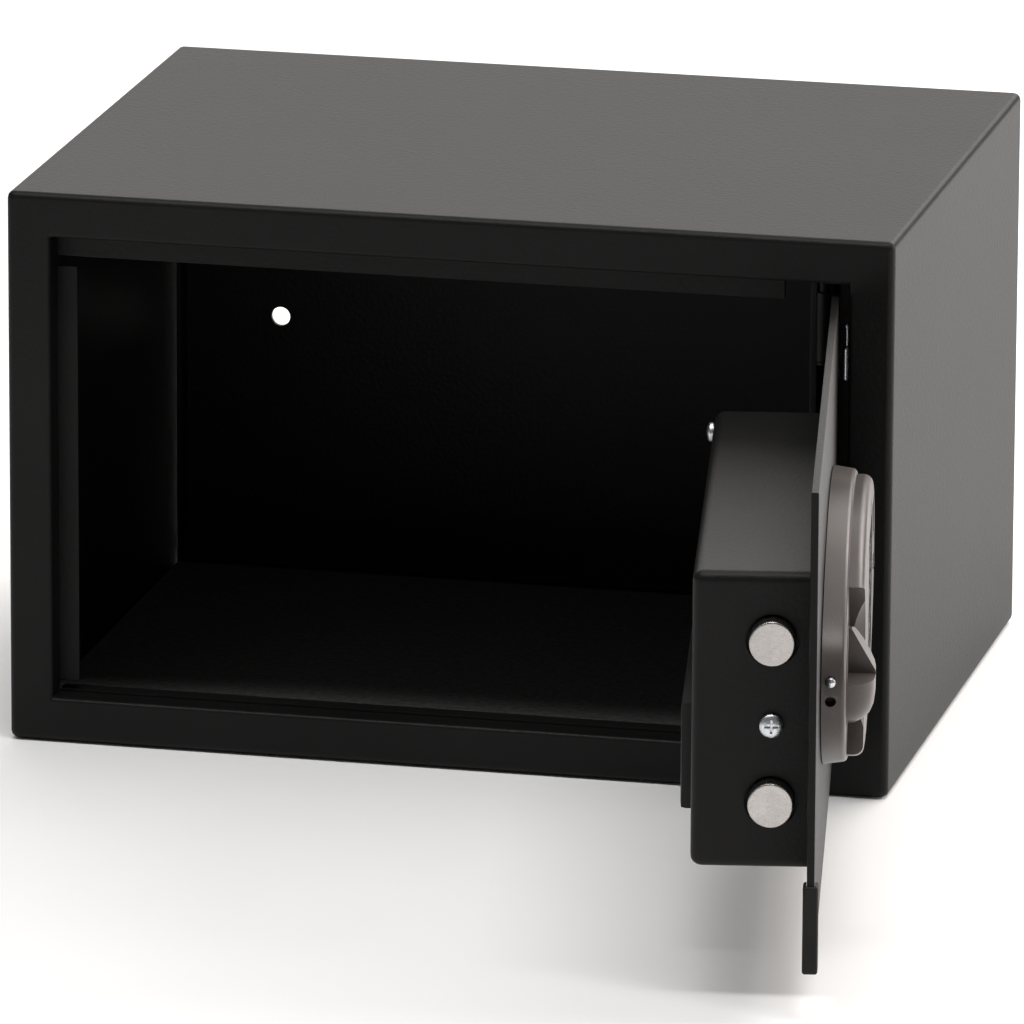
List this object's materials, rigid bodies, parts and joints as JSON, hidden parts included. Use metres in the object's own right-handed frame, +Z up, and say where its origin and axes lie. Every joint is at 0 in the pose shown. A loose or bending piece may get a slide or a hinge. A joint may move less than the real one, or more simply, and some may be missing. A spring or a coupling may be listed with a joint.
{
  "type": "in room safe",
  "caption": "Small electronic room safe: folded steel cabinet, hinged door with twin sliding bolts, keypad housing, turn knob and battery-fed lock case.",
  "frame": {"origin": "middle of the cabinet's underside", "axes": "+Z up, +Y from the open front towards the back panel, +X to the hinge side"},
  "size_m": [0.34, 0.4838, 0.195],
  "materials": {
    "black_paint": "textured powder coat, satin",
    "nickel": "bright nickel plate",
    "chrome": "bright chrome",
    "champagne": "champagne-grey metallic lacquer on moulded plastic",
    "felt": "black needle felt",
    "black_plastic": "moulded, fine grain",
    "rubber": "moulded black rubber",
    "board": "green solder mask",
    "copper": "enamelled copper wire",
    "cell": "printed steel can, plain",
    "red_button": "moulded red",
    "red_lens": "clear red",
    "green_lens": "clear green",
    "key_grey": "moulded grey",
    "zinc": "bright zinc plate"
  },
  "bodies": {
    "cabinet": {"body_shell": "black_paint", "back_panel": "black_paint", "stop_strip_left": "black_paint", "stop_strip_top": "black_paint", "sill_strip": "black_paint", "hinge_channel": "black_paint", "hinge_bracket_upper": "black_paint", "hinge_bracket_lower": "black_paint", "floor_mat": "felt", "hinge_pocket_pin": "zinc"},
    "door": {"battery_1": "cell", "battery_2": "cell", "battery_3": "cell", "battery_4": "cell", "battery_holder": "black_plastic", "bolt_guide": "black_paint", "circuit_board": "board", "corner_bumper": "rubber", "cover_screw_bottom": "zinc", "cover_screw_end": "zinc", "cover_screw_top": "zinc", "door_plate": "black_paint", "hinge_barrel_lower": "black_paint", "hinge_barrel_upper": "black_paint", "hinge_pin_lower": "black_paint", "hinge_pin_upper": "black_paint", "housing": "champagne", "key_frame": "black_plastic", "lamp_green": "green_lens", "lamp_red": "red_lens", "lock_cover": "black_paint", "power_contact": "zinc", "solenoid_coil": "copper", "solenoid_frame": "zinc"},
    "knob": {"knob": "champagne", "knob_spindle": "zinc", "drive_cam": "zinc"},
    "bolts": {"bolt_carriage": "zinc", "bolt_upper": "nickel", "bolt_lower": "nickel"},
    "plunger": {"solenoid_plunger": "zinc"},
    "battery_lid": {"battery_cover": "black_plastic"},
    "reset": {"reset_button": "red_button"},
    "keyhole_cap": {"key_cap": "champagne"},
    "override_lock": {"key_cylinder": "chrome", "key_cam": "zinc"},
    "key_01": {"key_01": "key_grey"},
    "key_02": {"key_02": "key_grey"},
    "key_03": {"key_03": "key_grey"},
    "key_04": {"key_04": "key_grey"},
    "key_05": {"key_05": "key_grey"},
    "key_06": {"key_06": "key_grey"},
    "key_07": {"key_07": "key_grey"},
    "key_08": {"key_08": "key_grey"},
    "key_09": {"key_09": "key_grey"},
    "key_10": {"key_10": "key_grey"},
    "key_11": {"key_11": "key_grey"},
    "key_12": {"key_12": "key_grey"}
  },
  "joints": [
    {"name": "door_swing", "type": "hinge", "parent": "cabinet", "child": "door", "pos_m": [0.1286, -0.1046, 0.096], "axis": [0, 0, 1], "range_deg": [-100, 12]},
    {"name": "knob_turn", "type": "hinge", "parent": "door", "child": "knob", "pos_m": [0.16701, -0.29137, 0.094], "axis": [0.9848, 0.1736, 0], "range_deg": [0, 90]},
    {"name": "bolt_slide", "type": "slide", "parent": "door", "child": "bolts", "axis": [0.1736, -0.9848, 0], "range_m": [0, 0.018]},
    {"name": "plunger_slide", "type": "slide", "parent": "door", "child": "plunger", "axis": [0, 0, -1], "range_m": [0, 0.005], "stiffness_N_per_m": 60},
    {"name": "battery_lid_slide", "type": "slide", "parent": "door", "child": "battery_lid", "axis": [-0.1736, 0.9848, 0], "range_m": [0, 0.012]},
    {"name": "reset_press", "type": "slide", "parent": "door", "child": "reset", "axis": [0.9848, 0.1736, 0], "range_m": [0, 0.001], "stiffness_N_per_m": 400},
    {"name": "keyhole_cap_slide", "type": "slide", "parent": "door", "child": "keyhole_cap", "axis": [0, 0, 1], "range_m": [0, 0.013]},
    {"name": "override_turn", "type": "hinge", "parent": "door", "child": "override_lock", "pos_m": [0.14284, -0.15428, 0.094], "axis": [0.9848, 0.1736, 0], "range_deg": [0, 90]},
    {"name": "key_01_press", "type": "slide", "parent": "door", "child": "key_01", "axis": [-0.9848, -0.1736, 0], "range_m": [0, 0.0008], "stiffness_N_per_m": 500},
    {"name": "key_02_press", "type": "slide", "parent": "door", "child": "key_02", "axis": [-0.9848, -0.1736, 0], "range_m": [0, 0.0008], "stiffness_N_per_m": 500},
    {"name": "key_03_press", "type": "slide", "parent": "door", "child": "key_03", "axis": [-0.9848, -0.1736, 0], "range_m": [0, 0.0008], "stiffness_N_per_m": 500},
    {"name": "key_04_press", "type": "slide", "parent": "door", "child": "key_04", "axis": [-0.9848, -0.1736, 0], "range_m": [0, 0.0008], "stiffness_N_per_m": 500},
    {"name": "key_05_press", "type": "slide", "parent": "door", "child": "key_05", "axis": [-0.9848, -0.1736, 0], "range_m": [0, 0.0008], "stiffness_N_per_m": 500},
    {"name": "key_06_press", "type": "slide", "parent": "door", "child": "key_06", "axis": [-0.9848, -0.1736, 0], "range_m": [0, 0.0008], "stiffness_N_per_m": 500},
    {"name": "key_07_press", "type": "slide", "parent": "door", "child": "key_07", "axis": [-0.9848, -0.1736, 0], "range_m": [0, 0.0008], "stiffness_N_per_m": 500},
    {"name": "key_08_press", "type": "slide", "parent": "door", "child": "key_08", "axis": [-0.9848, -0.1736, 0], "range_m": [0, 0.0008], "stiffness_N_per_m": 500},
    {"name": "key_09_press", "type": "slide", "parent": "door", "child": "key_09", "axis": [-0.9848, -0.1736, 0], "range_m": [0, 0.0008], "stiffness_N_per_m": 500},
    {"name": "key_10_press", "type": "slide", "parent": "door", "child": "key_10", "axis": [-0.9848, -0.1736, 0], "range_m": [0, 0.0008], "stiffness_N_per_m": 500},
    {"name": "key_11_press", "type": "slide", "parent": "door", "child": "key_11", "axis": [-0.9848, -0.1736, 0], "range_m": [0, 0.0008], "stiffness_N_per_m": 500},
    {"name": "key_12_press", "type": "slide", "parent": "door", "child": "key_12", "axis": [-0.9848, -0.1736, 0], "range_m": [0, 0.0008], "stiffness_N_per_m": 500}
  ],
  "couplings": [
    {"joint": "knob_turn", "follows": "bolt_slide", "rad_per_m": 87.266}
  ]
}
